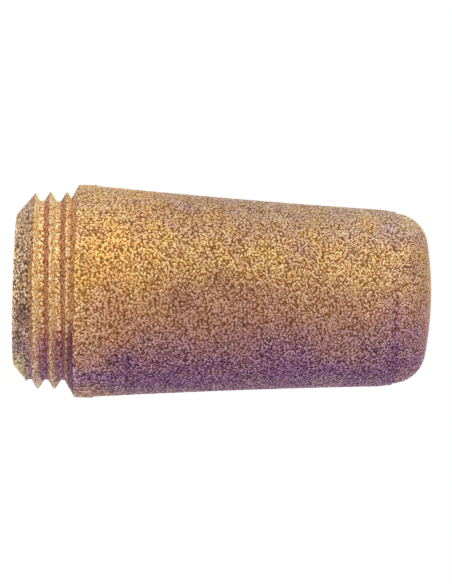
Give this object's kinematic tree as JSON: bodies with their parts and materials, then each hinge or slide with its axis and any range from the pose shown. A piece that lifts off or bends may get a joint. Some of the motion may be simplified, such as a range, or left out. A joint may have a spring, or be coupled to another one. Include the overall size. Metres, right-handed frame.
{
  "type": "sintered bronze sensor guard",
  "caption": "Cap-shaped porous guard of sintered bronze powder: a tapered body with a closed, rounded nose, open at the other end, where a short male thread screws it over a sensor.",
  "frame": {"origin": "centre of the flat ring at the open, threaded end, which the guard stands on", "axes": "+Z runs along the guard's axis from the open end to the closed nose; X and Y are radial, and the thread starts at the +X side"},
  "size_m": [0.013, 0.013, 0.0254],
  "materials": {
    "sintered_bronze": "porous, fused powder grains, heat tinted"
  },
  "bodies": {
    "root": {"sensor_guard": "sintered_bronze"}
  },
  "joints": []
}
